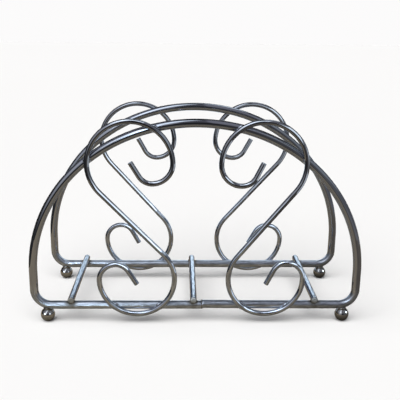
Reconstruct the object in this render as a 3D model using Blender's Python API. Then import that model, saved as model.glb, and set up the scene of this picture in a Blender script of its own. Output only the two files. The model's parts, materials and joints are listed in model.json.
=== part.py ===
"""Wire napkin holder, chrome-plated steel, all welded.

Two arched wire frames stand upright, one behind the other. Three crossbars lie on their bottom rails and
carry the napkins. A pair of S-scrolls is welded to the outer face of each frame, and a ball foot sits under
each bottom corner. Metres, +Z up, front towards -Y, origin on the table below the middle of the holder.
"""

import math

import bmesh
import bpy

# Driving dimensions, in metres, and in degrees where the name says so

# Frames: the outline is that of the wire's centre
FRAME_WIRE = 0.0040
FRAME_WIDTH = 0.1558
FRAME_SPACING = 0.0550
CORNER_RADIUS = 0.0080
LEG_STRAIGHT = 0.0091
ARCH_RISE = 0.0720

# Ball feet: each is ground flat underneath and stands just past the straight of its rail
FOOT_BALL = 0.0068
FOOT_FLAT = 0.0002
FOOT_PAST_RAIL = 0.0020

# Crossbars: all three sit a little to the left of the frames' middle
BAR_WIRE = 0.0032
BAR_INSET = 0.0189
BAR_SHIFT = -0.0012

# Scrolls: two loops joined by a straight, each loop ending in a hook with a straight tail. The front pair was
# welded on a little askew, turned about its upper loops
SCROLL_WIRE = 0.0025
SCROLL_SPACING = 0.0615
UPPER_LOOP_RADIUS = 0.0196
UPPER_LOOP_OVER_ARCH = 0.0069
UPPER_HOOK_RADIUS = 0.0096
LOWER_LOOP_RADIUS = 0.0179
LOWER_LOOP_UNDER_RAIL = 0.0037
LOWER_HOOK_RADIUS = 0.0079
HOOK_BEND_RADIUS = 0.0070
HOOK_BEND_DEG = 61.0
TAIL_LENGTH = 0.0078
FRONT_TILT_DEG = 2.5

# Welds: a welded piece is set down into the frame wire, on a seat cut with this clearance
WELD_SET_DOWN = 0.0005
WELD_CLEARANCE = 0.0003

# Fineness of the round shapes
CHORD_ERROR = 0.00006
FRAME_RING = 4
BAR_RING = 4
SCROLL_RING = 3
BALL_SEGMENTS = 24
BALL_RINGS = 14
WELD_POINTS_WITHIN = 0.000001
SHARP_EDGE_DEG = 40.0

# Finishes: colour and roughness of the plating on each kind of piece
FRAME_FINISH = ((0.62, 0.62, 0.63), 0.08)
BAR_FINISH = ((0.66, 0.67, 0.69), 0.10)
SCROLL_FINISH = ((0.60, 0.60, 0.61), 0.07)
FOOT_FINISH = ((0.56, 0.56, 0.56), 0.12)

# Places that follow from the driving dimensions
HALF_WIDTH = FRAME_WIDTH / 2
FOOT_HEIGHT = FOOT_BALL - FOOT_FLAT
RAIL_Z = FOOT_HEIGHT + FRAME_WIRE / 2 - WELD_SET_DOWN
SPRING_Z = RAIL_Z + CORNER_RADIUS + LEG_STRAIGHT
FOOT_X = HALF_WIDTH - CORNER_RADIUS + FOOT_PAST_RAIL
FOOT_Z = FOOT_BALL / 2 - FOOT_FLAT
BAR_X = HALF_WIDTH - BAR_INSET
BAR_Z = RAIL_Z + (FRAME_WIRE + BAR_WIRE) / 2 - WELD_SET_DOWN
BAR_HALF_LENGTH = (FRAME_SPACING + FRAME_WIRE) / 2
SCROLL_X = SCROLL_SPACING / 2
SCROLL_OFF_FRAME = (FRAME_WIRE + SCROLL_WIRE) / 2 - WELD_SET_DOWN
ARCH_Z_AT_SCROLL = SPRING_Z + ARCH_RISE * math.sqrt(1 - (SCROLL_X / HALF_WIDTH) ** 2)
UPPER_LOOP_Z = ARCH_Z_AT_SCROLL + UPPER_LOOP_OVER_ARCH - UPPER_LOOP_RADIUS
LOWER_LOOP_Z = RAIL_Z - LOWER_LOOP_UNDER_RAIL + LOWER_LOOP_RADIUS

SCROLL_TILT_DEG = {"front": FRONT_TILT_DEG, "back": 0}

# Signs of the two sides: front is -Y, left is -X as seen from the front
ENDS = (("front", -1), ("back", 1))
SIDES = (("left", -1), ("right", 1))


def clear_scene():
    for obj in list(bpy.data.objects):
        bpy.data.objects.remove(obj, do_unlink=True)


def new_collection(name):
    collection = bpy.data.collections.new(name)
    bpy.context.scene.collection.children.link(collection)
    return collection


def arc(centre, radius, start, end):
    """Points of an arc in the (x, z) plane, angles in radians, close enough that no chord is off by more than
    CHORD_ERROR."""
    step = 2 * math.acos(1 - CHORD_ERROR / radius)
    count = max(2, math.ceil(abs(end - start) / step))
    angles = [start + (end - start) * i / count for i in range(count + 1)]
    return [(centre[0] + radius * math.cos(a), centre[1] + radius * math.sin(a)) for a in angles]


def frame_outline():
    """The closed centre line of a frame: rail, round corners, short straight legs and a half-ellipse arch."""
    corner_x = HALF_WIDTH - CORNER_RADIUS
    corner_z = RAIL_Z + CORNER_RADIUS
    right_corner = arc((corner_x, corner_z), CORNER_RADIUS, -math.pi / 2, 0)
    left_corner = [(-x, z) for x, z in reversed(right_corner)]
    circle = arc((0, 0), HALF_WIDTH, 0, math.pi)
    arch = [(x, SPRING_Z + z * ARCH_RISE / HALF_WIDTH) for x, z in circle]
    return right_corner + arch + left_corner


def hooked_loop(centre, loop_radius, hook_radius, start, hook_at):
    """One end of a scroll, from the straight out to the tail. The loop's radius shrinks to the hook's at the
    angle hook_at, a quarter turn later to the bend's, and the tail leaves the bend straight."""
    points = arc(centre, loop_radius, start, hook_at)
    radius = loop_radius
    angle = hook_at
    for tighter, turn in ((hook_radius, math.pi / 2), (HOOK_BEND_RADIUS, math.radians(HOOK_BEND_DEG))):
        shift = radius - tighter
        centre = (centre[0] + shift * math.cos(angle), centre[1] + shift * math.sin(angle))
        points += arc(centre, tighter, angle, angle + turn)[1:]
        radius = tighter
        angle += turn
    x, z = points[-1]
    points.append((x - TAIL_LENGTH * math.sin(angle), z + TAIL_LENGTH * math.cos(angle)))
    return points


def scroll_outline():
    """The centre line of a right-hand scroll about its upper loop's centre, from upper tail to lower tail."""
    drop = UPPER_LOOP_Z - LOWER_LOOP_Z
    lean = math.acos((UPPER_LOOP_RADIUS + LOWER_LOOP_RADIUS) / drop)
    upper = hooked_loop((0, 0), UPPER_LOOP_RADIUS, UPPER_HOOK_RADIUS, lean - math.pi / 2, math.pi)
    lower = hooked_loop((0, -drop), LOWER_LOOP_RADIUS, LOWER_HOOK_RADIUS, lean + math.pi / 2, 2 * math.pi)
    return upper[::-1] + lower


def wire(name, points, diameter, ring, collection, closed=False):
    """A round wire along points, as a curve object with closed ends."""
    curve = bpy.data.curves.new(name, "CURVE")
    curve.dimensions = "3D"
    curve.bevel_depth = diameter / 2
    curve.bevel_resolution = ring
    curve.use_fill_caps = not closed
    spline = curve.splines.new("POLY")
    spline.points.add(len(points) - 1)
    for slot, point in zip(spline.points, points):
        slot.co = (*point, 1)
    spline.use_cyclic_u = closed
    obj = bpy.data.objects.new(name, curve)
    collection.objects.link(obj)
    return obj


def as_mesh(curve_object):
    """The same wire as a welded mesh, which can be cut or can cut."""
    name = curve_object.name
    collection = curve_object.users_collection[0]
    bpy.context.view_layer.update()
    graph = bpy.context.evaluated_depsgraph_get()
    mesh = bpy.data.meshes.new_from_object(curve_object.evaluated_get(graph))
    edit = bmesh.new()
    edit.from_mesh(mesh)
    bmesh.ops.remove_doubles(edit, verts=edit.verts, dist=WELD_POINTS_WITHIN)
    edit.to_mesh(mesh)
    edit.free()
    mesh.shade_smooth()
    mesh.set_sharp_from_angle(angle=math.radians(SHARP_EDGE_DEG))
    matrix = curve_object.matrix_world.copy()
    bpy.data.objects.remove(curve_object, do_unlink=True)
    obj = bpy.data.objects.new(name, mesh)
    obj.matrix_world = matrix
    collection.objects.link(obj)
    return obj


def cut_seats(piece, cutters):
    for cutter in cutters:
        modifier = piece.modifiers.new(cutter.name, "BOOLEAN")
        modifier.operation = "DIFFERENCE"
        modifier.solver = "EXACT"
        modifier.object = cutter


def plate(obj, finish):
    """Gives the piece its own chrome material."""
    colour, roughness = finish
    material = bpy.data.materials.new(f"{obj.name}_chrome")
    material.use_nodes = True
    shader = material.node_tree.nodes["Principled BSDF"]
    shader.inputs["Base Color"].default_value = (*colour, 1)
    shader.inputs["Metallic"].default_value = 1
    shader.inputs["Roughness"].default_value = roughness
    obj.data.materials.clear()
    obj.data.materials.append(material)


def make_frame(end, sign, holder):
    points = [(x, 0, z) for x, z in frame_outline()]
    frame = wire(f"{end}_frame", points, FRAME_WIRE, FRAME_RING, holder, closed=True)
    frame.location.y = sign * FRAME_SPACING / 2
    plate(frame, FRAME_FINISH)
    return frame


def make_seat_cutter(end, sign, cutters):
    """The frame's wire made thicker by the weld clearance, to cut the seats of what is welded to it."""
    points = [(x, 0, z) for x, z in frame_outline()]
    thick = FRAME_WIRE + 2 * WELD_CLEARANCE
    cutter = wire(f"{end}_seat_cutter", points, thick, FRAME_RING, cutters, closed=True)
    cutter.location.y = sign * FRAME_SPACING / 2
    cutter = as_mesh(cutter)
    cutter.hide_render = True
    cutter.display_type = "WIRE"
    return cutter


def make_crossbar(name, x, cutters, holder):
    points = [(0, -BAR_HALF_LENGTH, 0), (0, BAR_HALF_LENGTH, 0)]
    bar = wire(f"crossbar_{name}", points, BAR_WIRE, BAR_RING, holder)
    bar.location = (x, 0, BAR_Z)
    bar = as_mesh(bar)
    cut_seats(bar, cutters)
    plate(bar, BAR_FINISH)
    return bar


def make_scroll(end, end_sign, side, side_sign, cutter, holder):
    """A scroll on the outer face of a frame, tilted about its upper loop's centre."""
    points = [(side_sign * x, 0, z) for x, z in scroll_outline()]
    scroll = wire(f"scroll_{end}_{side}", points, SCROLL_WIRE, SCROLL_RING, holder)
    y = end_sign * (FRAME_SPACING / 2 + SCROLL_OFF_FRAME)
    scroll.location = (side_sign * SCROLL_X, y, UPPER_LOOP_Z)
    scroll.rotation_euler.y = -math.radians(SCROLL_TILT_DEG[end])
    scroll = as_mesh(scroll)
    cut_seats(scroll, [cutter])
    plate(scroll, SCROLL_FINISH)
    return scroll


def make_foot(end, end_sign, side, side_sign, cutter, holder):
    """A ball with its underside ground flat, under the rail at a corner."""
    name = f"foot_{end}_{side}"
    radius = FOOT_BALL / 2
    edit = bmesh.new()
    bmesh.ops.create_uvsphere(edit, u_segments=BALL_SEGMENTS, v_segments=BALL_RINGS, radius=radius)
    whole = edit.verts[:] + edit.edges[:] + edit.faces[:]
    flat = (0, 0, FOOT_FLAT - radius)
    bmesh.ops.bisect_plane(edit, geom=whole, plane_co=flat, plane_no=(0, 0, 1), clear_inner=True)
    bmesh.ops.holes_fill(edit, edges=edit.edges[:])
    bmesh.ops.recalc_face_normals(edit, faces=edit.faces[:])
    mesh = bpy.data.meshes.new(name)
    edit.to_mesh(mesh)
    edit.free()
    mesh.shade_smooth()
    mesh.set_sharp_from_angle(angle=math.radians(SHARP_EDGE_DEG))
    foot = bpy.data.objects.new(name, mesh)
    holder.objects.link(foot)
    foot.location = (side_sign * FOOT_X, end_sign * FRAME_SPACING / 2, FOOT_Z)
    cut_seats(foot, [cutter])
    plate(foot, FOOT_FINISH)
    return foot


def main():
    clear_scene()
    holder = new_collection("napkin_holder")
    cutters = new_collection("cutters")
    seat_cutters = {end: make_seat_cutter(end, sign, cutters) for end, sign in ENDS}
    pieces = [make_frame(end, sign, holder) for end, sign in ENDS]
    for name, x in (("left", -BAR_X), ("centre", 0), ("right", BAR_X)):
        pieces.append(make_crossbar(name, x + BAR_SHIFT, seat_cutters.values(), holder))
    for end, end_sign in ENDS:
        for side, side_sign in SIDES:
            cutter = seat_cutters[end]
            pieces.append(make_scroll(end, end_sign, side, side_sign, cutter, holder))
            pieces.append(make_foot(end, end_sign, side, side_sign, cutter, holder))
    stand = bpy.data.objects.new("napkin_holder", None)
    holder.objects.link(stand)
    for piece in pieces:
        piece.parent = stand


main()
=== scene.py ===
# %% [markdown]
# # A wire napkin holder in chrome
#
# The real holder is bent from three gauges of round steel wire, welded together and chrome-plated last.
# It has no flat panel anywhere, so nearly all that the eye sees of it is the room, mirrored in thin
# cylinders. Two things make such a picture: wires that are truly round and smooth, and a room worth
# mirroring.
#
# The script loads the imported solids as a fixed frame, makes a finer piece over each of them, gives
# every kind of piece its own plating, and sets up the camera, the board and the light last.

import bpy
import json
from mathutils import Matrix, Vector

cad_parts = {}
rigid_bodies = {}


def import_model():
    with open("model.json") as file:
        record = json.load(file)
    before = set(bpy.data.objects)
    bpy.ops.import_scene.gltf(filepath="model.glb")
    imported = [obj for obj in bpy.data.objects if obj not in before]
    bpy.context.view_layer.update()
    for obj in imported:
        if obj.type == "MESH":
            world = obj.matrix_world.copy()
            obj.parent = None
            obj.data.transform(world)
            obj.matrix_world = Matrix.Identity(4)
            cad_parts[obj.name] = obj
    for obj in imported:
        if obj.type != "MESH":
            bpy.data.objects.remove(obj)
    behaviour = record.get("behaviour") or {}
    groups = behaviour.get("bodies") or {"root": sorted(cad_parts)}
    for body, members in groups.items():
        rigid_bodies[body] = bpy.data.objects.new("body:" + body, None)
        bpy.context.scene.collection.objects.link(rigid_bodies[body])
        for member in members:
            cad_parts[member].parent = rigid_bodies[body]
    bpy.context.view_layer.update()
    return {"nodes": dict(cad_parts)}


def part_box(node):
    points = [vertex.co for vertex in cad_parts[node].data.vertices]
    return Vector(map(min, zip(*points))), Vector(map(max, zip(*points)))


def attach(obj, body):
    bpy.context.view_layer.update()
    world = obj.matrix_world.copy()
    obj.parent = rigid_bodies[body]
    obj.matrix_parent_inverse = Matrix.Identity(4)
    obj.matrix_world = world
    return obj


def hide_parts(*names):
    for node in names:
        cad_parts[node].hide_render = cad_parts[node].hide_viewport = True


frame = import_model()
print("solids:", ", ".join(sorted(frame["nodes"])))

# %% [markdown]
# ## Sizes
#
# A box round each solid gives most sizes of the real thing: a frame's wire is as thick as its box is
# deep, and its rail lies half a wire above the box's floor. Reading them here lets the pieces follow
# the solids. A box can't tell how tightly a wire is bent, so the bends are written out, in metres and
# degrees.

# %% Sizes that the boxes give
import math

import bpy
from mathutils import Matrix, Vector

frame_low, frame_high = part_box("back_frame")
bar_low, bar_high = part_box("crossbar_centre")
scroll_low, scroll_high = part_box("scroll_back_right")
foot_low, foot_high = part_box("foot_back_right")

# Hand-bent wire is never quite true, and this much of each box is left free for that
WANDER_ROOM = 0.00004

FRAME_WIRE = frame_high.y - frame_low.y
BAR_WIRE = bar_high.x - bar_low.x
SCROLL_WIRE = scroll_high.y - scroll_low.y
FOOT_BALL = foot_high.x - foot_low.x

FRAME_Y = (frame_high.y + frame_low.y) / 2
SCROLL_Y = (scroll_high.y + scroll_low.y) / 2 - WANDER_ROOM
SCROLL_X = (scroll_high.x + scroll_low.x) / 2
HALF_WIDTH = (frame_high.x - frame_low.x - FRAME_WIRE) / 2 - WANDER_ROOM
RAIL_Z = frame_low.z + FRAME_WIRE / 2
ARCH_TOP_Z = frame_high.z - FRAME_WIRE / 2
BAR_Z = bar_high.z - BAR_WIRE / 2
print(f"wires {FRAME_WIRE * 1000:.1f}, {BAR_WIRE * 1000:.1f} and {SCROLL_WIRE * 1000:.1f} mm thick")

# %% Bends, and the places that follow from them
CORNER_RADIUS = 0.0080
LEG_STRAIGHT = 0.0091
UPPER_LOOP_RADIUS = 0.0196
UPPER_HOOK_RADIUS = 0.0096
LOWER_LOOP_RADIUS = 0.0179
LOWER_HOOK_RADIUS = 0.0079
HOOK_BEND_RADIUS = 0.0070
HOOK_BEND = math.radians(61)
TAIL_LENGTH = 0.0078
FOOT_FLAT = 0.0002

# The front pair of scrolls was welded on a little askew
SCROLL_TILT = {"front": math.radians(2.5), "back": 0.0}

SPRING_Z = RAIL_Z + CORNER_RADIUS + LEG_STRAIGHT
ARCH_RISE = ARCH_TOP_Z - SPRING_Z
UPPER_LOOP_Z = scroll_high.z - SCROLL_WIRE / 2 - UPPER_LOOP_RADIUS - WANDER_ROOM
LOWER_LOOP_Z = scroll_low.z + SCROLL_WIRE / 2 + LOWER_LOOP_RADIUS

# Front is -Y, and left is -X as seen from the front
ENDS = {"front": -1, "back": 1}
SIDES = {"left": -1, "right": 1}
BARS = ("left", "centre", "right")
print(f"arch rises {ARCH_RISE * 1000:.1f} mm over legs that end {SPRING_Z * 1000:.1f} mm up")

# %% [markdown]
# ## Centre lines
#
# Every wire starts as its centre line in the (x, z) plane. A frame is a rail, two round corners, two
# short legs and half an ellipse. A scroll is a chain of arcs, each tangent to the one before: a large
# loop, a tighter hook, a bend, and a straight tail. Drawing them freehand with Bezier handles would be
# quick, but tangent arcs are what a bending jig makes, and their highlights run on without a kink.

# %% Arcs and the frame's outline
ARC_STEP = 0.0003


def arc(centre, radius, start, end):
    """Points of an arc in the (x, z) plane, angles in radians."""
    count = max(2, math.ceil(abs(end - start) * radius / ARC_STEP))
    angles = [start + (end - start) * i / count for i in range(count + 1)]
    x, z = centre
    return [(x + radius * math.cos(angle), z + radius * math.sin(angle)) for angle in angles]


def frame_outline():
    """The closed centre line of a frame. Its rail is the last stretch, back to the first point."""
    corner_x = HALF_WIDTH - CORNER_RADIUS
    corner_z = RAIL_Z + CORNER_RADIUS
    right_corner = arc((corner_x, corner_z), CORNER_RADIUS, -math.pi / 2, 0)
    left_corner = [(-x, z) for x, z in reversed(right_corner)]
    circle = arc((0, 0), HALF_WIDTH, 0, math.pi)
    arch = [(x, SPRING_Z + z * ARCH_RISE / HALF_WIDTH) for x, z in circle]
    return right_corner + arch + left_corner


print("frame outline:", len(frame_outline()), "points")


# %% The scroll's outline
def hooked_loop(centre, loop_radius, hook_radius, start, hook_at):
    """One end of a scroll, from its straight out to its tail."""
    points = arc(centre, loop_radius, start, hook_at)
    radius = loop_radius
    angle = hook_at
    for tighter, turn in ((hook_radius, math.pi / 2), (HOOK_BEND_RADIUS, HOOK_BEND)):
        shift = radius - tighter
        centre = (centre[0] + shift * math.cos(angle), centre[1] + shift * math.sin(angle))
        points += arc(centre, tighter, angle, angle + turn)[1:]
        radius = tighter
        angle += turn
    x, z = points[-1]
    return points + [(x - TAIL_LENGTH * math.sin(angle), z + TAIL_LENGTH * math.cos(angle))]


def scroll_outline(end, side):
    """The centre line of one scroll in its place, from upper tail to lower tail."""
    drop = UPPER_LOOP_Z - LOWER_LOOP_Z
    lean = math.acos((UPPER_LOOP_RADIUS + LOWER_LOOP_RADIUS) / drop)
    upper = hooked_loop((0, 0), UPPER_LOOP_RADIUS, UPPER_HOOK_RADIUS, lean - math.pi / 2, math.pi)
    lower = hooked_loop((0, -drop), LOWER_LOOP_RADIUS, LOWER_HOOK_RADIUS, lean + math.pi / 2, 2 * math.pi)
    cos = math.cos(SCROLL_TILT[end])
    sin = math.sin(SCROLL_TILT[end])
    mirrored = [(SIDES[side] * x, z) for x, z in upper[::-1] + lower]
    turned = [(x * cos - z * sin, x * sin + z * cos) for x, z in mirrored]
    return [(SIDES[side] * SCROLL_X + x, UPPER_LOOP_Z + z) for x, z in turned]


print("scroll outline:", len(scroll_outline("front", "left")), "points")

# %% [markdown]
# ## Where the welds are
#
# A scroll is welded to its frame wherever it crosses it, a crossbar where it lies on a rail, and a ball
# where it touches a rail from below. The outlines cross where a scroll's point changes from inside the
# arch to outside, or from above the rail to below, so a sign change along the outline finds each weld.
# Typing the places in would do too, but they wouldn't follow when a bend is changed. Each frame's wire
# also closes on itself in a butt weld, on its rail near the middle. The back frame is the front one
# turned round.
#
# Every weld gets a place, the direction in which the two wires were pressed together, the size of its
# nugget, and how far its heat has marked the plating.

# %% Crossings of the outlines
def crossings(points, side_of):
    """The points of an outline where side_of changes sign."""
    found = []
    for before, after in zip(points, points[1:]):
        start, stop = side_of(*before), side_of(*after)
        if start * stop < 0:
            share = start / (start - stop)
            found.append([a + share * (b - a) for a, b in zip(before, after)])
    return found


def over_arch(x, z):
    height = max(z - SPRING_Z, 0) / ARCH_RISE
    return math.hypot(x / HALF_WIDTH, height) - 1


def over_rail(_, z):
    return z - RAIL_Z


scroll_welds = []
scroll_press = SCROLL_Y - FRAME_Y
touch_y = FRAME_Y + scroll_press * FRAME_WIRE / (FRAME_WIRE + SCROLL_WIRE)
for end, end_sign in ENDS.items():
    for side in SIDES:
        outline = scroll_outline(end, side)
        for x, z in crossings(outline, over_arch) + crossings(outline, over_rail):
            scroll_welds.append(((x, end_sign * touch_y, z), (0, end_sign, 0)))
print("scroll welds:", len(scroll_welds))

# %% Welds of the crossbars, the feet and the frames' own ends
# Place of each seam along its rail, and how far its ends are out of line
SEAMS = {"front": (0.0029, 0.0004), "back": (-0.0029, 0.0002)}

bar_x = {name: sum(corner.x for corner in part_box(f"crossbar_{name}")) / 2 for name in BARS}
foot_x = (foot_high.x + foot_low.x) / 2
foot_z = FOOT_BALL / 2 - FOOT_FLAT
bar_touch_z = RAIL_Z + (BAR_Z - RAIL_Z) * FRAME_WIRE / (FRAME_WIRE + BAR_WIRE)
foot_touch_z = foot_z + (RAIL_Z - foot_z) * FOOT_BALL / (FOOT_BALL + FRAME_WIRE)

UPWARDS = (0, 0, 1)
ALONG_RAIL = (1, 0, 0)
bar_welds = []
foot_welds = []
for sign in ENDS.values():
    bar_welds += [((x, sign * FRAME_Y, bar_touch_z), UPWARDS) for x in bar_x.values()]
    foot_welds += [((side * foot_x, sign * FRAME_Y, foot_touch_z), UPWARDS) for side in SIDES.values()]
butt_welds = [((x, ENDS[end] * FRAME_Y, RAIL_Z + step / 2), ALONG_RAIL) for end, (x, step) in SEAMS.items()]
print("other welds:", len(bar_welds) + len(foot_welds) + len(butt_welds))


# %% Weld points as a mesh that node trees can read
def weld_points(name, groups):
    """A mesh of loose points. Each group holds its welds, the radius and height of their nuggets, and
    how far their heat reaches."""
    welds = [(place, press, size, reach) for found, size, reach in groups for place, press in found]
    mesh = bpy.data.meshes.new(name)
    mesh.from_pydata([place for place, _, _, _ in welds], [], [])
    press_values = [value for _, press, _, _ in welds for value in press]
    size_values = [value for _, _, (radius, height), _ in welds for value in (radius, radius, height)]
    reach_values = [reach for _, _, _, reach in welds]
    mesh.attributes.new("press", "FLOAT_VECTOR", "POINT").data.foreach_set("vector", press_values)
    mesh.attributes.new("nugget_size", "FLOAT_VECTOR", "POINT").data.foreach_set("vector", size_values)
    mesh.attributes.new("reach", "FLOAT", "POINT").data.foreach_set("value", reach_values)
    return mesh


# A butt weld's ridge stands this far out of the wire
BUTT_RIDGE = 0.00030

# Radius and height of the nugget, then the reach of the heat
SCROLL_NUGGET = (0.00190, 0.0011), 0.0020
BAR_NUGGET = (0.00190, 0.0012), 0.0042
FOOT_NUGGET = (0.00200, 0.0012), 0.0030
BUTT_NUGGET = (FRAME_WIRE / 2 + BUTT_RIDGE, 0.0005), 0.0020

all_welds = weld_points(
    "all_welds",
    [
        (scroll_welds, *SCROLL_NUGGET),
        (bar_welds, *BAR_NUGGET),
        (foot_welds, *FOOT_NUGGET),
        (butt_welds, *BUTT_NUGGET),
    ],
)
heat_marks = bpy.data.objects.new("heat_marks", all_welds)
print("welds in all:", len(all_welds.vertices))

# %% [markdown]
# ## Helpers for node trees
#
# Both the shapes and the platings below are node trees, built in code. A node is one call that names
# its kind, its settings and what goes into each socket: a socket of another node becomes a link, and
# anything else becomes the socket's value. That keeps a tree readable from top to bottom.

# %% One call for one node
NODE_SPACING = 190


def add_node(tree, kind, inputs=None, **settings):
    node = tree.nodes.new(kind)
    node.location.x = NODE_SPACING * len(tree.nodes)
    for name, value in settings.items():
        setattr(node, name, value)
    for key, value in (inputs or {}).items():
        if isinstance(value, bpy.types.NodeSocket):
            tree.links.new(value, node.inputs[key])
        else:
            node.inputs[key].default_value = value
    return node


def calc(tree, operation, *values):
    """A Math node's result, from the one, two or three values that the operation takes."""
    return add_node(tree, "ShaderNodeMath", dict(enumerate(values)), operation=operation).outputs[0]


def scaled(tree, vector, factor):
    inputs = {0: vector, "Scale": factor}
    return add_node(tree, "ShaderNodeVectorMath", inputs, operation="SCALE").outputs[0]


def axes(tree, vector):
    """A vector's x, y and z."""
    return add_node(tree, "ShaderNodeSeparateXYZ", {0: vector}).outputs


def ease(tree, value, start, stop, low=0.0, high=1.0):
    """A value that eases from low to high as another goes from start to stop."""
    inputs = {"Value": value, "From Min": start, "From Max": stop, "To Min": low, "To Max": high}
    return add_node(tree, "ShaderNodeMapRange", inputs, interpolation_type="SMOOTHSTEP").outputs["Result"]


# %% Trees for shapes, and running one
def shape_tree(name, inputs):
    """An empty Geometry Nodes tree with named inputs, and the sockets that they give."""
    tree = bpy.data.node_groups.new(name, "GeometryNodeTree")
    tree.interface.new_socket("Geometry", in_out="INPUT", socket_type="NodeSocketGeometry")
    for label, kind in inputs.items():
        tree.interface.new_socket(label, in_out="INPUT", socket_type=f"NodeSocket{kind}")
    tree.interface.new_socket("Geometry", in_out="OUTPUT", socket_type="NodeSocketGeometry")
    return tree, add_node(tree, "NodeGroupInput").outputs


def close_tree(tree, mesh, plating):
    smooth = add_node(tree, "GeometryNodeSetShadeSmooth", {"Geometry": mesh}).outputs[0]
    realized = add_node(tree, "GeometryNodeRealizeInstances", {"Geometry": smooth}).outputs[0]
    plated = add_node(tree, "GeometryNodeSetMaterial", {"Geometry": realized, "Material": plating}).outputs[0]
    add_node(tree, "NodeGroupOutput", {"Geometry": plated})


def grow(name, base_mesh, tree, values):
    """Runs a tree on a base mesh and keeps the result as a plain mesh, with no modifier left."""
    base = bpy.data.objects.new(f"{name}_base", base_mesh)
    bpy.context.scene.collection.objects.link(base)
    modifier = base.modifiers.new(tree.name, "NODES")
    modifier.node_group = tree
    for socket in tree.interface.items_tree:
        if socket.in_out == "INPUT" and socket.name in values:
            modifier[socket.identifier] = values[socket.name]
    graph = bpy.context.evaluated_depsgraph_get()
    evaluated = base.evaluated_get(graph)
    mesh = bpy.data.meshes.new_from_object(evaluated, preserve_all_data_layers=True, depsgraph=graph)
    mesh.name = name
    bpy.data.objects.remove(base)
    piece = bpy.data.objects.new(name, mesh)
    bpy.context.scene.collection.objects.link(piece)
    return piece


# %% [markdown]
# ## Chrome
#
# Bright chrome over polished nickel mirrors a little over half of the light, and it is faintly blue. A
# perfect mirror looks false, though. Drawn wire keeps fine lines along its length, a bent wire is
# slightly wavy, the plating is thinner and greyer here and there, and fingers leave a haze. Low down,
# where a holder is knocked and wiped most, the plating is worn: duller, and streaked along the wire.
# There its tone is also painted paler and bluer than higher up, which is painted light: it stands in
# for the brighter reflections of the low wires, and leaves the upper loops darker. A picture of
# scratches would have to be unwrapped onto each wire, so all of that is done with noise: lines and
# streaks in the wire's own coordinates, so that they run along it, and the rest in object coordinates.
#
# Near a weld the plating is dull and brownish, because the steel under it was burnt. The shapes below
# store how near as an attribute, weld_heat, and the shader only reads it.

# %% Small parts of a plating's tree
def bare_metal(name):
    """A new metal, with its node tree and its shader."""
    material = bpy.data.materials.new(name)
    material.use_nodes = True
    shader = material.node_tree.nodes["Principled BSDF"]
    shader.inputs["Metallic"].default_value = 1.0
    return material, material.node_tree, shader


def plug_in(tree, shader, sockets):
    for name, value in sockets.items():
        tree.links.new(value, shader.inputs[name])


def noise(tree, vector, scale, detail=2.0):
    inputs = {"Vector": vector, "Scale": scale, "Detail": detail}
    return add_node(tree, "ShaderNodeTexNoise", inputs).outputs["Fac"]


def stretched_noise(tree, vector, shape):
    """Noise with a scale of its own along each axis."""
    stretched = add_node(tree, "ShaderNodeMapping", {"Vector": vector, "Scale": shape}).outputs[0]
    return noise(tree, stretched, 1.0, detail=3.0)


def attribute(tree, name, output="Fac"):
    return add_node(tree, "ShaderNodeAttribute", attribute_name=name).outputs[output]


def mix_colour(tree, share, first, second):
    inputs = {"Factor": share, "A": first, "B": second}
    return add_node(tree, "ShaderNodeMix", inputs, data_type="RGBA").outputs["Result"]


def bump(tree, height, distance, normal=None):
    inputs = {"Height": height, "Distance": distance}
    if normal:
        inputs["Normal"] = normal
    return add_node(tree, "ShaderNodeBump", inputs).outputs["Normal"]


# %% Colour, gloss and relief of chrome
# An edge is the noise value where a layer sets in, and the value where it is full
STREAK_SHAPE = (1300, 1300, 190)
STREAK_EDGE = 0.35, 0.65
STREAK_SHADE_NEW = 0.90
STREAK_SHADE_WORN = 0.58
BURNT = (0.20, 0.175, 0.135, 1)
GLOSS = 0.020
BURNT_ROUGHNESS = 0.30
HAZE_SCALE = 70
HAZE_EDGE = 0.45, 0.75
WAVE_SCALE = 95
WAVE_HEIGHT = 0.00005
PEEL_SCALE = 2200
PEEL_HEIGHT = 0.0000012
LINE_SHAPE = (5200, 5200, 60)
LINE_HEIGHT = 0.0000016


def chrome_colour(tree, new_tone, worn_and_lit_tone, worn_and_lit, streaks, heat):
    """The new and the worn tone, darker in streaks, and brown where the heat of a weld has reached. The
    worn tone is paler and bluer low down, which is partly painted light.
    """
    tone = mix_colour(tree, worn_and_lit, (*new_tone, 1), (*worn_and_lit_tone, 1))
    darkest = ease(tree, worn_and_lit, 0.0, 1.0, STREAK_SHADE_NEW, STREAK_SHADE_WORN)
    shade = ease(tree, streaks, *STREAK_EDGE, 1.0, darkest)
    return mix_colour(tree, heat, scaled(tree, tone, shade), BURNT)


def chrome_roughness(tree, place, haze, worn_roughness, worn_and_lit, heat):
    """Glossy, but scuffed where it is worn, hazy where fingers were, and dull by the welds."""
    fingers = ease(tree, noise(tree, place, HAZE_SCALE, detail=4.0), *HAZE_EDGE)
    scuffed = calc(tree, "MULTIPLY_ADD", worn_and_lit, worn_roughness, GLOSS)
    hazy = calc(tree, "MULTIPLY_ADD", fingers, haze, scuffed)
    return calc(tree, "MULTIPLY_ADD", heat, BURNT_ROUGHNESS, hazy)


def chrome_normal(tree, place, along):
    """The waves of bent metal, the fine peel of plating, and on wire the lines that drawing leaves."""
    normal = bump(tree, noise(tree, place, WAVE_SCALE, detail=1.0), WAVE_HEIGHT)
    normal = bump(tree, noise(tree, place, PEEL_SCALE), PEEL_HEIGHT, normal)
    if along:
        normal = bump(tree, stretched_noise(tree, along, LINE_SHAPE), LINE_HEIGHT, normal)
    return normal


print(f"lines of drawing: about {1000 / LINE_SHAPE[0]:.1f} mm wide and {1000 / LINE_SHAPE[2]:.0f} mm long")


# %% One chrome plating
CLOUD_SCALE = 420
CLOUD_EDGE = 0.25, 0.60
LEAST_HEAT = 0.55


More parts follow.
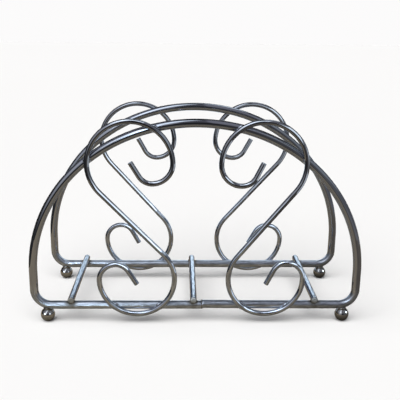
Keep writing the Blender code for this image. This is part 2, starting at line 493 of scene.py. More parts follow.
def chrome(name, new_tone, haze, wear_and_light, drawn=True):
    """Chrome of a given tone. Haze is the roughness that fingers add. Wear sets in downwards, with painted
    light: it gives the heights where it starts and where it is full, its roughness, and its tone, which on
    the wires is paler partly as painted light. Balls aren't drawn."""
    material, tree, shader = bare_metal(name)
    wear_heights, worn_roughness, worn_and_lit_tone = wear_and_light
    place = add_node(tree, "ShaderNodeTexCoord").outputs["Object"]
    height = axes(tree, place)["Z"]
    # Painted light and wear: low down the tone turns paler and bluer, standing in for brighter reflections.
    worn_and_lit = ease(tree, height, *wear_heights)

    clouds = noise(tree, place, CLOUD_SCALE, detail=3.0)
    patches = ease(tree, clouds, *CLOUD_EDGE, LEAST_HEAT, 1.0)
    heat = calc(tree, "MULTIPLY", attribute(tree, "weld_heat"), patches)

    along = attribute(tree, "wire_coords", "Vector") if drawn else None
    streaks = stretched_noise(tree, along, STREAK_SHAPE) if drawn else clouds
    sockets = {
        "Base Color": chrome_colour(tree, new_tone, worn_and_lit_tone, worn_and_lit, streaks, heat),
        "Roughness": chrome_roughness(tree, place, haze, worn_roughness, worn_and_lit, heat),
        "Normal": chrome_normal(tree, place, along),
    }
    plug_in(tree, shader, sockets)
    return material


# The worn tones are paler and bluer than the new ones, partly as painted light for brighter reflections low
# down.
FRAME_WEAR_AND_LIGHT = (0.022, 0.012), 0.30, (0.82, 0.875, 0.97)
BAR_WEAR_AND_LIGHT = (0.022, 0.012), 0.05, (0.77, 0.782, 0.806)
SCROLL_WEAR_AND_LIGHT = (0.065, 0.030), 0.06, (0.755, 0.815, 0.92)
FOOT_WEAR = (0.004, 0.001), 0.20, (0.50, 0.50, 0.50)

frame_chrome = chrome("frame_chrome", (0.57, 0.60, 0.665), haze=0.05, wear_and_light=FRAME_WEAR_AND_LIGHT)
bar_chrome = chrome("crossbar_chrome", (0.60, 0.625, 0.67), haze=0.05, wear_and_light=BAR_WEAR_AND_LIGHT)
scroll_chrome = chrome("scroll_chrome", (0.46, 0.475, 0.515), haze=0.04, wear_and_light=SCROLL_WEAR_AND_LIGHT)
foot_chrome = chrome("foot_chrome", (0.56, 0.56, 0.565), haze=0.04, wear_and_light=FOOT_WEAR, drawn=False)
for plating in (frame_chrome, bar_chrome, scroll_chrome, foot_chrome):
    print(f"{plating.name}: {len(plating.node_tree.nodes)} nodes")


# %% Weld metal
WELD_PATCH_SCALE = 700
WELD_PATCH_EDGE = 0.3, 0.7
WELD_PATCH_BLEND = 0.30
WELD_ROUGHNESS = 0.16, 0.38
WELD_LUMP_HEIGHT = 0.00006
PIT_SCALE = 2600
PIT_EDGE = 0.05, 0.3
PIT_DEPTH = 0.00002


def weld_metal(name, tone, burnt_from):
    """Plated over like the rest, but pitted, much rougher, and burnt in patches. The lower the value that
    they are burnt from, the more of them are."""
    material, tree, shader = bare_metal(name)
    place = add_node(tree, "ShaderNodeTexCoord").outputs["Object"]
    patches = noise(tree, place, WELD_PATCH_SCALE, detail=3.0)
    burnt = ease(tree, patches, burnt_from, burnt_from + WELD_PATCH_BLEND)
    pits = add_node(tree, "ShaderNodeTexVoronoi", {"Vector": place, "Scale": PIT_SCALE}).outputs["Distance"]
    lumps = bump(tree, patches, WELD_LUMP_HEIGHT)
    sockets = {
        "Base Color": mix_colour(tree, burnt, tone, BURNT),
        "Roughness": ease(tree, patches, *WELD_PATCH_EDGE, *WELD_ROUGHNESS),
        "Normal": bump(tree, ease(tree, pits, *PIT_EDGE), PIT_DEPTH, lumps),
    }
    plug_in(tree, shader, sockets)
    return material


weld_plating = weld_metal("weld_metal", (0.46, 0.45, 0.43, 1), 0.35)
bright_weld_plating = weld_metal("bright_weld_metal", (0.78, 0.83, 0.92, 1), 0.55)
print("weld metal:", len(weld_plating.node_tree.nodes), "nodes")

# %% [markdown]
# ## Wire, as one tree
#
# Nine of the pieces are round wire along a path, so one Geometry Nodes tree makes them all. It turns
# the path into a curve, spaces its points evenly, lets it wander by a few hundredths of a millimetre as
# bent wire does, and sweeps a circle along it. A curve object's own bevel would sweep the circle too,
# but a tree can also store what the plating needs: coordinates along and around the wire, and how near
# a weld is.

# %% Attributes that the platings read
HEAT_FULL = 0.35


def store(tree, geometry, name, value, kind="FLOAT"):
    inputs = {"Geometry": geometry, "Name": name, "Value": value}
    return add_node(tree, "GeometryNodeStoreNamedAttribute", inputs, data_type=kind).outputs[0]


def named(tree, name, kind="FLOAT"):
    return add_node(tree, "GeometryNodeInputNamedAttribute", {"Name": name}, data_type=kind).outputs[0]


def store_heat(tree, mesh, welds):
    """Stores weld_heat: 1 at the nearest weld, falling to 0 at the reach of its heat."""
    points = add_node(tree, "GeometryNodeObjectInfo", {"Object": welds}).outputs["Geometry"]
    nearest = add_node(tree, "GeometryNodeSampleNearest", {"Geometry": points}).outputs["Index"]
    here = add_node(tree, "GeometryNodeInputPosition").outputs[0]
    place = {"Geometry": points, "Value": here, "Index": nearest}
    weld = add_node(tree, "GeometryNodeSampleIndex", place, data_type="FLOAT_VECTOR").outputs[0]
    extent = {"Geometry": points, "Value": named(tree, "reach"), "Index": nearest}
    reach = add_node(tree, "GeometryNodeSampleIndex", extent, data_type="FLOAT").outputs[0]
    apart = add_node(tree, "ShaderNodeVectorMath", {0: here, 1: weld}, operation="DISTANCE").outputs["Value"]
    heat = ease(tree, calc(tree, "DIVIDE", apart, reach), HEAT_FULL, 1.0, 1.0, 0.0)
    return store(tree, mesh, "weld_heat", heat)


print(f"heat is full within {HEAT_FULL:.0%} of its reach")


# %% The wire tree
SEAM_RUN = 0.022
SEAM_EDGE = 0.0006
WANDER_SEED = 4.0


def wander_offset(tree, position, sizes):
    """A slow noise in space, so that wires which touch wander together."""
    wide = calc(tree, "DIVIDE", 1.0, sizes["Wander Length"])
    inputs = {"Vector": position, "W": WANDER_SEED, "Scale": wide, "Detail": 1.0}
    colour = add_node(tree, "ShaderNodeTexNoise", inputs, noise_dimensions="4D").outputs["Color"]
    centred = add_node(tree, "ShaderNodeVectorMath", {0: colour, 1: (0.5, 0.5, 0.5)}, operation="SUBTRACT")
    return scaled(tree, centred.outputs[0], sizes["Wander"])


def seam_offset(tree, position, sizes):
    """At the butt weld the wire's two ends don't quite meet: the right one stands higher, and runs out."""
    x, _, z = axes(tree, position)
    past = calc(tree, "SUBTRACT", x, sizes["Seam X"])
    runs_out = calc(tree, "EXPONENT", calc(tree, "DIVIDE", past, -SEAM_RUN))
    on_rail = calc(tree, "LESS_THAN", z, sizes["Rail Top"])
    rise = calc(tree, "MULTIPLY", ease(tree, past, 0.0, SEAM_EDGE), runs_out)
    rise = calc(tree, "MULTIPLY", calc(tree, "MULTIPLY", rise, on_rail), sizes["Seam Step"])
    return add_node(tree, "ShaderNodeCombineXYZ", {"Z": rise}).outputs[0]


def make_wire_tree():
    tree, sizes = shape_tree(
        "plated_wire",
        {
            "Diameter": "Float",
            "Step": "Float",
            "Sides": "Int",
            "Wander": "Float",
            "Wander Length": "Float",
            "Seam X": "Float",
            "Seam Step": "Float",
            "Rail Top": "Float",
            "Welds": "Object",
            "Plating": "Material",
        },
    )
    curve = add_node(tree, "GeometryNodeMeshToCurve", {"Mesh": sizes["Geometry"]}).outputs[0]
    inputs = {"Curve": curve, "Length": sizes["Step"]}
    curve = add_node(tree, "GeometryNodeResampleCurve", inputs, mode="LENGTH").outputs[0]
    position = add_node(tree, "GeometryNodeInputPosition").outputs[0]
    offsets = {0: wander_offset(tree, position, sizes), 1: seam_offset(tree, position, sizes)}
    offset = add_node(tree, "ShaderNodeVectorMath", offsets).outputs[0]
    curve = add_node(tree, "GeometryNodeSetPosition", {"Geometry": curve, "Offset": offset}).outputs[0]
    along = add_node(tree, "GeometryNodeSplineParameter")
    curve = store(tree, curve, "along", along.outputs["Length"])

    radius = calc(tree, "MULTIPLY", sizes["Diameter"], 0.5)
    inputs = {"Resolution": sizes["Sides"], "Radius": radius}
    circle = add_node(tree, "GeometryNodeCurvePrimitiveCircle", inputs).outputs["Curve"]
    around = add_node(tree, "GeometryNodeInputPosition").outputs[0]
    circle = store(tree, circle, "around", around, "FLOAT_VECTOR")
    inputs = {"Curve": curve, "Profile Curve": circle, "Scale": 1.0, "Fill Caps": True}
    mesh = add_node(tree, "GeometryNodeCurveToMesh", inputs).outputs[0]

    ring_x, ring_y, _ = axes(tree, named(tree, "around", "FLOAT_VECTOR"))
    inputs = {"X": ring_x, "Y": ring_y, "Z": named(tree, "along")}
    coords = add_node(tree, "ShaderNodeCombineXYZ", inputs).outputs[0]
    mesh = store(tree, mesh, "wire_coords", coords, "FLOAT_VECTOR")
    close_tree(tree, store_heat(tree, mesh, sizes["Welds"]), sizes["Plating"])
    return tree


wire_tree = make_wire_tree()
print("wire tree:", len(wire_tree.nodes), "nodes")

# %% [markdown]
# ## Frames, scrolls and crossbars
#
# Each wire is its path, run through the tree with its own gauge. A wire's cut ends aren't razor sharp
# after plating, so a small Bevel rounds them, as wide as two thicknesses of a sheet of paper.

# %% From path to piece
WIRE_STEP = 0.0005
WIRE_SIDES = 36
WANDER = 0.00012
WANDER_LENGTH = 0.018
END_BEVEL = 0.0002
END_BEVEL_STEPS = 3
END_BEVEL_ANGLE = math.radians(60)


def path_mesh(name, points, closed=False):
    count = len(points)
    edges = [(i, (i + 1) % count) for i in range(count if closed else count - 1)]
    mesh = bpy.data.meshes.new(name)
    mesh.from_pydata(points, edges, [])
    return mesh


def make_wire(node, points, diameter, plating, seam=None):
    """A wire along points. Only a closed one has a seam."""
    seam_x, seam_step = seam or (0.0, 0.0)
    values = {
        "Diameter": diameter,
        "Step": WIRE_STEP,
        "Sides": WIRE_SIDES,
        "Wander": WANDER,
        "Wander Length": WANDER_LENGTH,
        "Seam X": seam_x,
        "Seam Step": seam_step,
        "Rail Top": RAIL_Z + FRAME_WIRE / 2,
        "Welds": heat_marks,
        "Plating": plating,
    }
    name = f"{node}_wire"
    piece = grow(name, path_mesh(name, points, closed=bool(seam)), wire_tree, values)
    if not seam:
        ends = piece.modifiers.new("eased_ends", "BEVEL")
        ends.width = END_BEVEL
        ends.segments = END_BEVEL_STEPS
        ends.limit_method = "ANGLE"
        ends.angle_limit = END_BEVEL_ANGLE
    print(f"{name}: {len(piece.data.polygons)} faces")
    return piece


def dress(piece, node):
    """The piece stands for a solid, which it hides, and rides with it."""
    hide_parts(node)
    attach(piece, "root")


# %% Bend the frames
for end, sign in ENDS.items():
    node = f"{end}_frame"
    points = [(x, sign * FRAME_Y, z) for x, z in frame_outline()]
    dress(make_wire(node, points, FRAME_WIRE, frame_chrome, SEAMS[end]), node)

# %% Bend the scrolls
for end, sign in ENDS.items():
    for side in SIDES:
        node = f"scroll_{end}_{side}"
        points = [(x, sign * SCROLL_Y, z) for x, z in scroll_outline(end, side)]
        dress(make_wire(node, points, SCROLL_WIRE, scroll_chrome), node)

# %% Cut the crossbars
for name, x in bar_x.items():
    node = f"crossbar_{name}"
    points = [(x, bar_low.y, BAR_Z), (x, bar_high.y, BAR_Z)]
    dress(make_wire(node, points, BAR_WIRE, bar_chrome), node)

# %% [markdown]
# ## Ball feet
#
# The feet are steel balls, flattened underneath by a light grind so that the holder doesn't rock. A UV
# sphere is nearly there. The tree pushes whatever hangs below the floor up to it, which makes the flat.

# %% The foot tree and its four feet
BALL_SEGMENTS = 64
BALL_RINGS = 48


def make_foot_tree():
    tree, sizes = shape_tree(
        "ball_foot",
        {"Diameter": "Float", "Centre": "Vector", "Floor": "Float", "Welds": "Object", "Plating": "Material"},
    )
    radius = calc(tree, "MULTIPLY", sizes["Diameter"], 0.5)
    inputs = {"Segments": BALL_SEGMENTS, "Rings": BALL_RINGS, "Radius": radius}
    ball = add_node(tree, "GeometryNodeMeshUVSphere", inputs).outputs["Mesh"]
    ball = add_node(tree, "GeometryNodeSetPosition", {"Geometry": ball, "Offset": sizes["Centre"]}).outputs[0]
    position = add_node(tree, "GeometryNodeInputPosition").outputs[0]
    x, y, z = axes(tree, position)
    inputs = {"X": x, "Y": y, "Z": calc(tree, "MAXIMUM", z, sizes["Floor"])}
    ground = add_node(tree, "ShaderNodeCombineXYZ", inputs).outputs[0]
    ball = add_node(tree, "GeometryNodeSetPosition", {"Geometry": ball, "Position": ground}).outputs[0]
    close_tree(tree, store_heat(tree, ball, sizes["Welds"]), sizes["Plating"])
    return tree


foot_tree = make_foot_tree()
for end, end_sign in ENDS.items():
    for side, side_sign in SIDES.items():
        node = f"foot_{end}_{side}"
        values = {
            "Diameter": FOOT_BALL,
            "Centre": (side_sign * foot_x, end_sign * FRAME_Y, foot_z),
            "Floor": foot_low.z,
            "Welds": heat_marks,
            "Plating": foot_chrome,
        }
        piece = grow(f"{node}_ball", bpy.data.meshes.new(node), foot_tree, values)
        print(f"{piece.name}: {len(piece.data.polygons)} faces")
        dress(piece, node)

# %% [markdown]
# ## Weld nuggets
#
# Where two wires are pressed together and welded, a little metal squeezes out and fills the corner
# between them. A nugget is a flattened ball in that corner, mostly buried in the two wires. There are
# too many to sculpt one by one, so a tree puts one on each weld point, turns it to the direction in
# which the wires were pressed, and roughens it with noise, so that no two look the same. The butt welds
# are nuggets too, turned along the rail: only their rims show, as a ridge. The scrolls' nuggets are
# brighter than the others, since the thin wire took less heat.

# %% The nugget tree
NUGGET_DETAIL = 4
NUGGET_ROUGH = 0.00022
NUGGET_GRAIN = 900
NUGGET_SEED = 7.0


def make_nugget_tree():
    tree, sizes = shape_tree("weld_nuggets", {"Roughness": "Float", "Grain": "Float", "Plating": "Material"})
    inputs = {"Radius": 1.0, "Subdivisions": NUGGET_DETAIL}
    ball = add_node(tree, "GeometryNodeMeshIcoSphere", inputs).outputs["Mesh"]
    inputs = {"Vector": named(tree, "press", "FLOAT_VECTOR")}
    turned = add_node(tree, "FunctionNodeAlignRotationToVector", inputs, axis="Z").outputs[0]
    inputs = {
        "Points": sizes["Geometry"],
        "Instance": ball,
        "Rotation": turned,
        "Scale": named(tree, "nugget_size", "FLOAT_VECTOR"),
    }
    nuggets = add_node(tree, "GeometryNodeInstanceOnPoints", inputs).outputs[0]
    nuggets = add_node(tree, "GeometryNodeRealizeInstances", {"Geometry": nuggets}).outputs[0]
    inputs = {"W": NUGGET_SEED, "Scale": sizes["Grain"], "Detail": 2.0}
    lumps = add_node(tree, "ShaderNodeTexNoise", inputs, noise_dimensions="4D").outputs["Fac"]
    swell = calc(tree, "MULTIPLY", calc(tree, "SUBTRACT", lumps, 0.5), sizes["Roughness"])
    offset = scaled(tree, add_node(tree, "GeometryNodeInputNormal").outputs[0], swell)
    nuggets = add_node(tree, "GeometryNodeSetPosition", {"Geometry": nuggets, "Offset": offset}).outputs[0]
    close_tree(tree, nuggets, sizes["Plating"])
    return tree


nugget_tree = make_nugget_tree()
for kind, welds, nugget, slot, plating in (
    ("scroll", scroll_welds, SCROLL_NUGGET, "scroll_wire", bright_weld_plating),
    ("crossbar", bar_welds, BAR_NUGGET, "crossbar_wire", weld_plating),
    ("foot", foot_welds, FOOT_NUGGET, "foot_ball", weld_plating),
    ("butt", butt_welds, BUTT_NUGGET, "frame_wire", weld_plating),
):
    name = f"{kind}_welds"
    values = {"Roughness": NUGGET_ROUGH, "Grain": NUGGET_GRAIN, "Plating": plating}
    piece = grow(name, weld_points(name, [(welds, *nugget)]), nugget_tree, values)
    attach(piece, "root")
    print(f"{name}: {len(welds)} nuggets")

# %% [markdown]
# ## Camera
#
# The camera stands where the picture was taken from: a little left of the middle, a third of a metre
# in front, and looking down by some sixteen degrees. The place and the angles come from matching the
# outlines of the wires to the picture, and the lens from the same match on a square frame.

# %% Place the camera
CAMERA_AT = Vector((-0.00769, -0.32776, 0.14527))
CAMERA_DOWN = math.radians(15.660)
CAMERA_RIGHT = math.radians(1.748)
CAMERA_ROLL = math.radians(0.671)
CAMERA_LENS = 60.17

eye = bpy.data.cameras.new("eye")
eye.lens = CAMERA_LENS
eye.sensor_width = 36
camera = bpy.data.objects.new("eye", eye)
level = Matrix.Rotation(-CAMERA_RIGHT, 4, "Z") @ Matrix.Rotation(math.pi / 2 - CAMERA_DOWN, 4, "X")
camera.matrix_world = Matrix.Translation(CAMERA_AT) @ level @ Matrix.Rotation(CAMERA_ROLL, 4, "Z")
bpy.context.scene.collection.objects.link(camera)
bpy.context.scene.camera = camera
print("camera looks along", [round(v, 3) for v in -camera.matrix_world.col[2].xyz])

# %% [markdown]
# ## Floor and board
#
# The floor is plain and pale. Chrome on a white sweep would turn white itself, so, as in a product
# studio, the wires mirror something else: under the holder lies a board of brown felt that only
# reflections see, and the floor is hidden from them. The nap of felt brightens at a glancing angle,
# which the shader's sheen does, and the board falls into shade on its right.

# %% The floor
FLOOR_SIZE = 6.0
FLOOR_DROP = 0.0001
FLOOR_TONE = (0.87, 0.87, 0.865, 1)
SHEET_ROUGHNESS = 0.9


def flat_sheet(name, low, high, z, colour):
    mesh = bpy.data.meshes.new(name)
    corners = [(low[0], low[1], z), (high[0], low[1], z), (high[0], high[1], z), (low[0], high[1], z)]
    mesh.from_pydata(corners, [], [(0, 1, 2, 3)])
    material = bpy.data.materials.new(name)
    material.use_nodes = True
    shader = material.node_tree.nodes["Principled BSDF"]
    shader.inputs["Base Color"].default_value = colour
    shader.inputs["Roughness"].default_value = SHEET_ROUGHNESS
    shader.inputs["Specular IOR Level"].default_value = 0.0
    mesh.materials.append(material)
    sheet = bpy.data.objects.new(name, mesh)
    bpy.context.scene.collection.objects.link(sheet)
    return sheet


half = FLOOR_SIZE / 2
floor = flat_sheet("floor", (-half, -half), (half, half), foot_low.z - FLOOR_DROP, FLOOR_TONE)
floor.visible_glossy = False
print("floor:", FLOOR_SIZE, "m square")

# %% The felt board
BOARD_LOW = (-0.160, -0.165)
BOARD_HIGH = (0.300, 0.200)
BOARD_TONE = (0.165, 0.146, 0.112, 1)
BOARD_SHADE = (0.055, 0.048, 0.040, 1)
SHEEN_TONE = (1.0, 0.80, 0.54, 1)
SHEEN_SHADE = (0.40, 0.35, 0.29, 1)
SHEEN_ROUGHNESS = 0.5
SHADE_EDGE = 0.03, 0.09


def felt_board():
    """A sheet of felt that only reflections see."""
    board = flat_sheet("board", BOARD_LOW, BOARD_HIGH, foot_low.z - FLOOR_DROP / 2, BOARD_TONE)
    board.visible_camera = False
    board.visible_diffuse = False
    board.visible_shadow = False
    tree = board.data.materials[0].node_tree
    shader = tree.nodes["Principled BSDF"]
    shader.inputs["Sheen Weight"].default_value = 1.0
    shader.inputs["Sheen Roughness"].default_value = SHEEN_ROUGHNESS
    place = add_node(tree, "ShaderNodeTexCoord").outputs["Object"]
    x = axes(tree, place)["X"]
    shaded = ease(tree, x, *SHADE_EDGE)
    sockets = {
        "Sheen Tint": mix_colour(tree, shaded, SHEEN_TONE, SHEEN_SHADE),
        "Base Color": mix_colour(tree, shaded, BOARD_TONE, BOARD_SHADE),
    }
    plug_in(tree, shader, sockets)


felt_board()
print("board:", [round(b - a, 2) for a, b in zip(BOARD_LOW, BOARD_HIGH)], "m")

# %% [markdown]
# ## Cards of light
#
# What makes chrome look like chrome is bright shapes with clear edges, mirrored beside dark ones.
# Photographers stand white cards round it. Here a card is an area light that only reflections see. It
# is given by its radiance, so that it looks equally bright at any size and distance.
#
# One card for all the wires would light them all in the same place. Two tricks of the studio keep a
# card to one wire: light linking is a flag that shades all other pieces, and a narrow spread is a grid
# that lets the light out straight ahead only.

# %% One light, and one card
COOL = (0.82, 0.92, 1.0)
BLUE = (0.68, 0.85, 1.0)
DEEP_BLUE = (0.40, 0.58, 1.0)


def aimed_light(name, kind, place, aim, colour, energy, roll=0.0):
    """A light at one point that faces another. Roll turns it about the line between them, in degrees."""
    light = bpy.data.lights.new(name, kind)
    light.energy = energy
    light.color = colour
    lamp = bpy.data.objects.new(name, light)
    away = (Vector(place) - Vector(aim)).to_track_quat("Z", "Y").to_matrix().to_4x4()
    lamp.matrix_world = Matrix.Translation(place) @ away @ Matrix.Rotation(math.radians(roll), 4, "Z")
    bpy.context.scene.collection.objects.link(lamp)
    return lamp


def light_card(name, place, aim, size, radiance, colour=COOL, roll=0.0, only_for=(), grid=0):
    """A glowing card that only reflections see. It can be kept to some of the pieces. A grid is given by its
    half angle in degrees, and straight ahead the card looks as bright as without one."""
    wide, tall = size
    half = math.radians(grid)
    share = 1 - half / math.tan(half) if grid else 1
    card = aimed_light(name, "AREA", place, aim, colour, share * radiance * math.pi * wide * tall, roll)
    card.data.shape = "RECTANGLE"
    card.data.size = wide
    card.data.size_y = tall
    card.visible_camera = False
    card.visible_diffuse = False
    if grid:
        card.data.spread = 2 * half
    if only_for:
        receivers = bpy.data.collections.new(f"{name}_receivers")
        for piece in only_for:
            receivers.objects.link(piece)
        card.light_linking.receiver_collection = receivers


# %% Which pieces a card is for
finished = [piece for piece in bpy.context.scene.objects if piece.name.endswith(("_wire", "_ball", "_welds"))]


def pieces(*words):
    """The finished pieces that have each of these words in their names."""
    return [piece for piece in finished if all(word in piece.name for word in words)]


front = pieces("front_frame")
back = pieces("back_frame")
scrolls = pieces("scroll", "wire")
front_scrolls = pieces("scroll_front")
back_scrolls = pieces("scroll_back")
left_scrolls = pieces("scroll", "left")
right_scrolls = pieces("scroll", "right")
bars = pieces("crossbar", "wire")
all_but_bars = [piece for piece in finished if piece not in bars]
print("pieces that cards can be linked to:", len(finished))

# %% Cards in front, for the arches and the rails
MIDDLE = (0, 0, 0.05)
ARCH_LEFT = (-0.100, 0, 0.225)
RAIL_LEFT = (-0.066, -0.033, 0.008)
BACK_RAIL_LEFT = (-0.080, 0.0275, 0.008)
RAIL_CARD = (0.070, 0.040)

light_card("front_left_strip", (-0.30, -0.62, 0.95), MIDDLE, (0.34, 1.25), 1.25)
light_card("scroll_strip", (-0.165, -0.453, 0.989), MIDDLE, (0.95, 0.34), 2.2, only_for=front_scrolls)
light_card("arch_left_card", (-0.100, -0.327, 0.225), ARCH_LEFT, (0.050, 0.16), 3.0, BLUE, only_for=front)
place = (-0.088, -0.327, 0.035)
light_card("rail_left_card", place, RAIL_LEFT, RAIL_CARD, 19.0, BLUE, only_for=front, grid=8)
place = (-0.155, -0.263, 0.200)
light_card("back_rail_left_card", place, BACK_RAIL_LEFT, RAIL_CARD, 48.0, BLUE, only_for=back, grid=7)
print("cards so far:", len(bpy.data.lights))

# %% Cards behind, at the right and for the upper loops
back_pieces = scrolls + back
light_card("back_high_card", (0.27, 0.47, 0.88), MIDDLE, (0.36, 0.36), 0.8, only_for=back_pieces)
light_card("back_strip", (0.20, 0.66, 0.82), MIDDLE, (0.70, 0.30), 0.5, only_for=back_pieces)
light_card("right_card", (0.95, -0.35, 0.75), MIDDLE, (1.2, 0.8), 0.20)
for name, place, aim, size, radiance, linked in (
    ("scroll_right_strip", (0.155, -0.238, 0.163), (-0.03, 0, 0.05), (0.42, 0.11), 0.35, left_scrolls),
    ("right_scroll_strip", (0.210, -0.200, 0.190), (0.03, 0, 0.06), (0.30, 0.11), 1.6, right_scrolls),
):
    light_card(name, place, aim, size, radiance, roll=33, only_for=linked)
light_card("back_scroll_card", (0.06, -0.50, 0.20), MIDDLE, (0.32, 0.45), 0.60, only_for=back_scrolls)
print("cards so far:", len(bpy.data.lights))


# %% Cards held close to the scrolls' straights and lower loops
def near_scroll(end, x, away, z, slide=0.0):
    """A point given by its distance from the plane of the front or back scrolls, slid up a left straight."""
    return (x - slide, ENDS[end] * SCROLL_Y + away, z + slide)


for end, slide, tall in (("front", 0.002, 0.044), ("back", 0.006, 0.046)):
    left = pieces(f"scroll_{end}_left")
    place = near_scroll(end, -0.0237, -0.0172, 0.0509, slide)
    aim = near_scroll(end, -0.0314, -0.0017, 0.0430, slide)
    light_card(f"{end}_left_diagonal_card", place, aim, (0.033, tall), 2.7, roll=40, only_for=left, grid=40)
    place = near_scroll(end, 0.020, 0.001, 0.078)
    aim = near_scroll(end, -0.028, -0.003, 0.046)
    light_card(f"{end}_left_side_card", place, aim, (0.042, 0.042), 1.8, only_for=left, grid=14)
    right = pieces(f"scroll_{end}_right")
    place = near_scroll(end, 0.003, -0.056, 0.060)
    aim = near_scroll(end, 0.028, -0.003, 0.046)
    size = (0.035, 0.042)
    light_card(f"{end}_right_diagonal_card", place, aim, size, 1.3, roll=-31, only_for=right, grid=14)

UPPER_RIGHT_LOOP = (0.050, -0.033, 0.082)
place = (0.089, -0.043, 0.083)
light_card("right_loop_card", place, UPPER_RIGHT_LOOP, (0.030, 0.045), 2.2, only_for=right_scrolls, grid=15)
place = (0.110, -0.060, 0.026)
light_card("loop_right_low_card", place, (0, -0.060, 0.026), (0.12, 0.048), 0.8, only_for=scrolls)
print("cards so far:", len(bpy.data.lights))

# %% Cards for the feet
FOOT_CARD = (0.18, 0.16)

for name, side, place, radiance in (
    ("left_foot_card", "left", (-0.41, -0.38, 0.15), 7.0),
    ("left_foot_second_card", "left", (0.30, -0.39, 0.18), 3.0),
    ("right_foot_card", "right", (0.50, -0.08, 0.16), 7.0),
):
    light_card(name, place, (0, 0, 0), FOOT_CARD, radiance, only_for=pieces(f"{side}_ball"))
print("cards so far:", len(bpy.data.lights))

# %% A row of cards close behind, and cards for the crossbars
# A crossbar points at the viewer, so it mirrors the row behind along its whole length. It gets a narrower
# card of its own, which leaves its sides dark, and a small one in front of its cut end.
ROW_Y = 0.115
ROW_Z = 0.055
ROW_TALL = 0.07
END_CARD_AT = (-0.052, 0.0042)
BAR_END_AT = (-0.0315, 0.0105)
END_CARD = (0.03, 0.0075)


def card_behind(name, left, right, radiance, linked):
    middle = (left + right) / 2
    size = (right - left, ROW_TALL)
    light_card(name, (middle, ROW_Y, ROW_Z), (middle, 0, ROW_Z), size, radiance, BLUE, only_for=linked)


card_behind("back_left_card", -0.120, -0.055, 0.50, all_but_bars)
card_behind("back_card", -0.055, 0.015, 1.05, all_but_bars)
card_behind("back_right_card", 0.015, 0.130, 0.85, all_but_bars)
for name, left, right, radiance, end_radiance in (
    ("left", -0.115, -0.019, 0.86, 0.26),
    ("centre", -0.025, 0.049, 1.25, 0.62),
    ("right", 0.035, 0.135, 1.05, 0.45),
):
    bar = pieces(f"crossbar_{name}")
    card_behind(f"crossbar_{name}_card", left, right, radiance, bar)
    place = (bar_x[name], *END_CARD_AT)
    aim = (bar_x[name], *BAR_END_AT)
    light_card(f"crossbar_{name}_end_card", place, aim, END_CARD, end_radiance, BLUE, only_for=bar)
place = (0, 0.117, ROW_Z)
light_card("crossbar_dim_card", place, (0, 0, ROW_Z), (0.28, 0.09), 0.13, DEEP_BLUE, only_for=bars)
print("cards in all:", len(bpy.data.lights))

# %% [markdown]
# ## Sun and room
#
# A wide soft sun lights the floor evenly and gives the holder its faint shadow. Reflections don't see
# it.
#
# The room is the world's own colour, made of a few soft layers: each is a mask by direction and the
# colour that it adds. The camera sees a plain pale backdrop in its place.

# %% The sun
SUN_AT = (-0.5, -0.9, 1.9)
SUN_TONE = (1.0, 0.99, 0.97)
SUN_STRENGTH = 3.42
SUN_WIDTH = math.radians(70)

sun = aimed_light("sky_sun", "SUN", SUN_AT, (0, 0, 0), SUN_TONE, SUN_STRENGTH)
sun.data.angle = SUN_WIDTH
sun.visible_glossy = False
print("lights in all:", len(bpy.data.lights))

# %% The layers of the dim room
# A mask changes between the two values of its edge: of a direction's x, y or z, or of its nearness to
# FRONT_LEFT. A share is what is left of the ceiling's glow at the back or on the right.
ROOM_DARK = (0.030, 0.030, 0.031)
CEILING_GLOW = (0.20, 0.20, 0.235)
CEILING_EDGE = 0.10, 0.75
CEILING_FRONT_EDGE = 0.40, -0.05
CEILING_BACK_SHARE = 0.2
CEILING_RIGHT_EDGE = 0.30, 0.60
CEILING_RIGHT_SHARE = 0.35
RIGHT_GLOW = (0.085, 0.088, 0.098)
RIGHT_EDGE = 0.15, 0.6
RIGHT_LOW_EDGE = -0.5, -0.2
RIGHT_HIGH_EDGE = 0.45, 0.25
FRONT_LEFT_GLOW = (0.36, 0.37, 0.40)
FRONT_LEFT = (-0.558, -0.714, 0.423)
FRONT_LEFT_EDGE = 0.80, 0.97
UNDER_GLOW = (0.09, 0.08, 0.07)
UNDER_EDGE = -0.5, -0.75
FAR_TABLE_GLOW = (0.075, 0.070, 0.065)
FAR_TABLE_EDGE = 0.0, -0.2
FAR_TABLE_RIGHT_EDGE = -0.1, 0.2
BAND_LEFT_EDGE = -0.10, -0.06
BAND_RIGHT_EDGE = 0.12, 0.07
BAND_LOW_EDGE = -0.25, -0.05
BAND_SHADE = 0.45


def overlap(tree, first, *others):
    """The product of two or more masks."""
    for mask in others:
        first = calc(tree, "MULTIPLY", first, mask)
    return first


def room_layer(tree, below, mask, colour):
    """Adds a colour, as far as a mask lets it, to what lies below."""
    inputs = {0: mask, 1: colour, 2: below}
    return add_node(tree, "ShaderNodeVectorMath", inputs, operation="MULTIPLY_ADD").outputs[0]


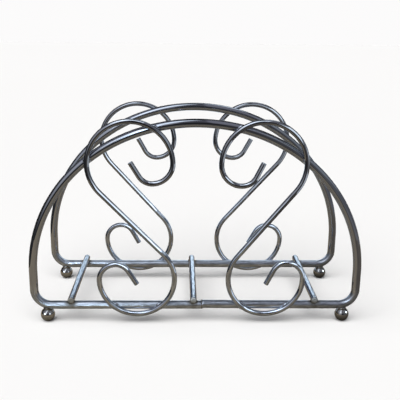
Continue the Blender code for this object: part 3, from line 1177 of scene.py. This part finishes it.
def mirrored_room(tree):
    """What reflections see, by direction: x to the right, y to the back and z up."""
    direction = add_node(tree, "ShaderNodeTexCoord").outputs["Generated"]
    x, y, z = axes(tree, direction)
    ceiling_front = ease(tree, y, *CEILING_FRONT_EDGE, CEILING_BACK_SHARE, 1.0)
    ceiling_left = ease(tree, x, *CEILING_RIGHT_EDGE, 1.0, CEILING_RIGHT_SHARE)
    ceiling = overlap(tree, ease(tree, z, *CEILING_EDGE), ceiling_front, ceiling_left)
    not_high = ease(tree, z, *RIGHT_HIGH_EDGE)
    right = overlap(tree, ease(tree, x, *RIGHT_EDGE), ease(tree, z, *RIGHT_LOW_EDGE), not_high)
    far_table = overlap(tree, ease(tree, z, *FAR_TABLE_EDGE), ease(tree, x, *FAR_TABLE_RIGHT_EDGE))
    towards = {0: direction, 1: FRONT_LEFT}
    nearness = add_node(tree, "ShaderNodeVectorMath", towards, operation="DOT_PRODUCT").outputs["Value"]

    room = room_layer(tree, ROOM_DARK, ceiling, CEILING_GLOW)
    room = room_layer(tree, room, right, RIGHT_GLOW)
    room = room_layer(tree, room, ease(tree, nearness, *FRONT_LEFT_EDGE), FRONT_LEFT_GLOW)
    room = room_layer(tree, room, ease(tree, z, *UNDER_EDGE), UNDER_GLOW)
    room = room_layer(tree, room, far_table, FAR_TABLE_GLOW)

    # A narrow band in the middle, from the table up, is darker
    above = ease(tree, z, *BAND_LOW_EDGE)
    band = overlap(tree, ease(tree, x, *BAND_LEFT_EDGE), ease(tree, x, *BAND_RIGHT_EDGE), above)
    shade = ease(tree, band, 0.0, 1.0, 1.0, BAND_SHADE)
    return scaled(tree, room, shade)


# %% The room, and the backdrop that the camera sees
BACKDROP = (0.972, 0.965, 0.965, 1)


def build_room(world):
    world.use_nodes = True
    tree = world.node_tree
    tree.nodes.clear()
    dim = add_node(tree, "ShaderNodeBackground", {"Color": mirrored_room(tree)}).outputs[0]
    pale = add_node(tree, "ShaderNodeBackground", {"Color": BACKDROP}).outputs[0]
    seen = add_node(tree, "ShaderNodeLightPath").outputs["Is Camera Ray"]
    mixed = add_node(tree, "ShaderNodeMixShader", {0: seen, 1: dim, 2: pale}).outputs[0]
    add_node(tree, "ShaderNodeOutputWorld", {"Surface": mixed})


world = bpy.data.worlds.new("room")
build_room(world)
bpy.context.scene.world = world
bpy.context.scene.view_settings.view_transform = "Standard"
print("room:", len(world.node_tree.nodes), "nodes")

# %% [markdown]
# ## The end
#
# The finer pieces may not outgrow the solids they stand for.

# %% The last cell
import json
